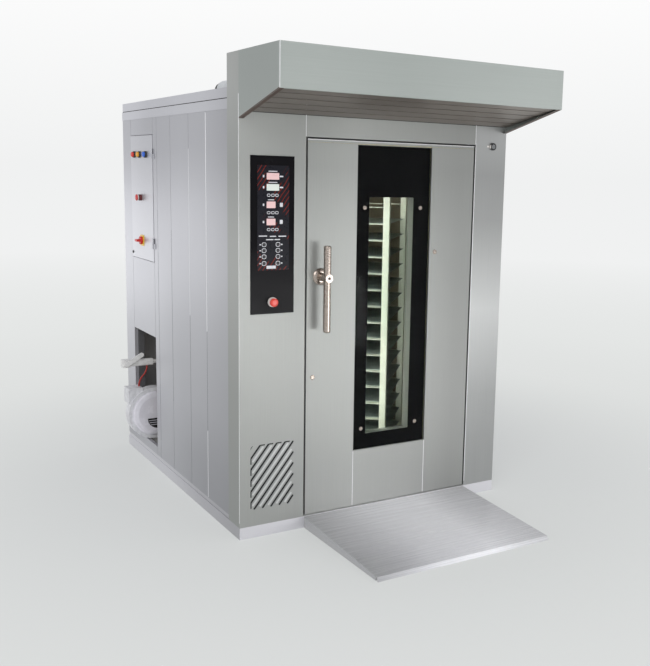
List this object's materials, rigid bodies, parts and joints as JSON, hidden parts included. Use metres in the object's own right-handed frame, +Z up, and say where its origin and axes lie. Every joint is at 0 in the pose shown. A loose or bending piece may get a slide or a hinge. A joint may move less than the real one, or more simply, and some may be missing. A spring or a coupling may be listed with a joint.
{
  "type": "rotating rack oven",
  "caption": "Rotating rack oven: stainless body with a flush insulated door, tall window, hood, turning tray rack, burner bay, electrical cabinet and loading ramp.",
  "frame": {"origin": "on the floor, under the rack's turning axis, on the underside of the floor pan", "axes": "+Z up; the door and the hood face -Y; +X is to the right as the oven is faced"},
  "size_m": [1.741, 2.681, 2.407],
  "materials": {
    "brushed_steel": "brushed",
    "side_steel": "satin",
    "hood_underside": "satin, in shade",
    "inner_steel": "satin",
    "mineral_wool": "fibrous slab",
    "polished_steel": "polished",
    "glass": "clear",
    "black_glass": "gloss black",
    "key_film": "satin film",
    "silicone": "matt",
    "switch_black": "matt",
    "stop_red": "gloss",
    "button_grey": "matt",
    "pilot_lens": "translucent",
    "rack_steel": "satin",
    "sheet_steel": "baked",
    "fork_zinc": "zinc",
    "wheel_resin": "phenolic resin",
    "cast_iron": "as cast",
    "motor_paint": "gloss",
    "fan_steel": "satin",
    "heat_steel": "heat tinted",
    "flue_steel": "satin",
    "burner_paint": "satin pale grey",
    "burner_white": "gloss white",
    "valve_white": "painted"
  },
  "bodies": {
    "root": {"base_frame": "side_steel", "floor_panel": "inner_steel", "left_pillar": "brushed_steel", "right_pillar": "brushed_steel", "lintel": "brushed_steel", "wall_panels": "side_steel", "roof_deck": "side_steel", "wall_insulation": "mineral_wool", "ceiling_insulation": "mineral_wool", "chamber_walls": "inner_steel", "chamber_ceiling": "inner_steel", "door_frame": "brushed_steel", "hinge_pins": "polished_steel", "control_glass": "black_glass", "control_film": "key_film", "switch_bezels": "switch_black", "hood_shell": "brushed_steel", "hood_slats": "hood_underside", "rack_gearmotor": "motor_paint", "fan_case": "inner_steel", "fan_motor": "motor_paint", "drive_belt": "silicone", "heat_exchanger": "heat_steel", "flue_pipes": "flue_steel", "steam_cascade": "cast_iron", "burner_body": "burner_paint", "burner_cover": "burner_white", "fuel_valve": "valve_white", "fuel_hose": "silicone", "cabinet_box": "inner_steel", "cabinet_electrics": "switch_black"},
    "rack_shaft": {"rack_shaft": "rack_steel"},
    "rack": {"rack_frame": "rack_steel", "baking_sheets": "sheet_steel"},
    "castor_fork_1": {"castor_fork_1": "fork_zinc"},
    "castor_fork_2": {"castor_fork_2": "fork_zinc"},
    "castor_wheel_1": {"castor_wheel_1": "wheel_resin"},
    "castor_wheel_2": {"castor_wheel_2": "wheel_resin"},
    "castor_wheel_3": {"castor_wheel_3": "wheel_resin"},
    "castor_wheel_4": {"castor_wheel_4": "wheel_resin"},
    "circulation_fan": {"circulation_fan": "fan_steel"},
    "motor_pulley": {"motor_pulley": "cast_iron"},
    "damper_blade": {"damper_blade": "fan_steel"},
    "door": {"door_skin": "brushed_steel", "door_core": "mineral_wool", "window_glass": "glass", "window_mask": "black_glass", "door_gasket": "silicone", "door_trim": "polished_steel"},
    "door_handle": {"door_handle": "polished_steel"},
    "latch_bolt": {"latch_bolt": "polished_steel"},
    "cabinet_door": {"cabinet_door": "side_steel", "cabinet_door_fittings": "switch_black", "pilot_lights": "pilot_lens"},
    "cabinet_button": {"cabinet_button": "stop_red"},
    "isolator_handle": {"isolator_handle": "stop_red"},
    "estop_button": {"estop_button": "stop_red"},
    "lamp_switch_button": {"lamp_switch_button": "button_grey"},
    "fuel_valve_lever": {"fuel_valve_lever": "valve_white"},
    "ramp": {"ramp": "brushed_steel"}
  },
  "joints": [
    {"name": "door_swing", "type": "hinge", "parent": "root", "child": "door", "pos_m": [0.475, -0.686, 1.04], "axis": [0, 0, 1], "range_deg": [0, 120]},
    {"name": "handle_turn", "type": "hinge", "parent": "door", "child": "door_handle", "pos_m": [-0.432, -0.776, 1.322], "axis": [0, -1, 0], "range_deg": [0, 90]},
    {"name": "latch_slide", "type": "slide", "parent": "door", "child": "latch_bolt", "axis": [1, 0, 0], "range_m": [0, 0.018]},
    {"name": "rack_spin", "type": "hinge", "parent": "root", "child": "rack_shaft", "pos_m": [0, 0, 2.2], "axis": [0, 0, 1], "continuous": true},
    {"name": "rack_lift", "type": "slide", "parent": "rack_shaft", "child": "rack", "axis": [0, 0, 1], "range_m": [0, 0.02]},
    {"name": "castor_swivel_1", "type": "hinge", "parent": "rack", "child": "castor_fork_1", "pos_m": [0.06908, -0.45194, 0.181], "axis": [0, 0, 1], "continuous": true},
    {"name": "castor_wheel_spin_1", "type": "hinge", "parent": "castor_fork_1", "child": "castor_wheel_1", "pos_m": [0.09196, -0.47135, 0.1163], "axis": [0.6468, 0.7627, 0], "continuous": true},
    {"name": "castor_swivel_2", "type": "hinge", "parent": "rack", "child": "castor_fork_2", "pos_m": [0.45716, 0.00566, 0.181], "axis": [0, 0, 1], "continuous": true},
    {"name": "castor_wheel_spin_2", "type": "hinge", "parent": "castor_fork_2", "child": "castor_wheel_2", "pos_m": [0.48004, -0.01375, 0.1163], "axis": [0.6468, 0.7627, 0], "continuous": true},
    {"name": "castor_wheel_spin_3", "type": "hinge", "parent": "rack", "child": "castor_wheel_3", "pos_m": [-0.45716, -0.00566, 0.1163], "axis": [0.6468, 0.7627, 0], "continuous": true},
    {"name": "castor_wheel_spin_4", "type": "hinge", "parent": "rack", "child": "castor_wheel_4", "pos_m": [-0.06908, 0.45194, 0.1163], "axis": [0.6468, 0.7627, 0], "continuous": true},
    {"name": "circulation_fan_spin", "type": "hinge", "parent": "root", "child": "circulation_fan", "pos_m": [-0.291, 0.8, 1.9], "axis": [0, 1, 0], "continuous": true},
    {"name": "motor_pulley_spin", "type": "hinge", "parent": "root", "child": "motor_pulley", "pos_m": [-0.291, 0.965, 2.345], "axis": [0, 1, 0], "continuous": true},
    {"name": "damper_turn", "type": "hinge", "parent": "root", "child": "damper_blade", "pos_m": [0.33, 0.3, 2.262], "axis": [1, 0, 0], "range_deg": [0, 90]},
    {"name": "cabinet_door_swing", "type": "hinge", "parent": "root", "child": "cabinet_door", "pos_m": [-0.876, 0.612, 1.66], "axis": [0, 0, 1], "range_deg": [0, 110]},
    {"name": "cabinet_button_push", "type": "slide", "parent": "cabinet_door", "child": "cabinet_button", "axis": [1, 0, 0], "range_m": [0, 0.005], "stiffness_N_per_m": 600},
    {"name": "isolator_turn", "type": "hinge", "parent": "cabinet_door", "child": "isolator_handle", "pos_m": [-0.871, 0.838, 1.4], "axis": [-1, 0, 0], "range_deg": [0, 90]},
    {"name": "estop_push", "type": "slide", "parent": "root", "child": "estop_button", "axis": [0, 1, 0], "range_m": [0, 0.006]},
    {"name": "lamp_switch_push", "type": "slide", "parent": "root", "child": "lamp_switch_button", "axis": [0, 1, 0], "range_m": [0, 0.004], "stiffness_N_per_m": 600},
    {"name": "fuel_valve_turn", "type": "hinge", "parent": "root", "child": "fuel_valve_lever", "pos_m": [-0.985, 0.826, 0.628], "axis": [0, -1, 0], "range_deg": [0, 90]},
    {"name": "ramp_pull_off", "type": "slide", "parent": "root", "child": "ramp", "axis": [0, -1, 0], "range_m": [0, 0.4]}
  ],
  "couplings": [
    {"joint": "latch_slide", "follows": "handle_turn", "m_per_rad": 0.011458},
    {"joint": "motor_pulley_spin", "follows": "circulation_fan_spin", "ratio": 1.5556}
  ]
}
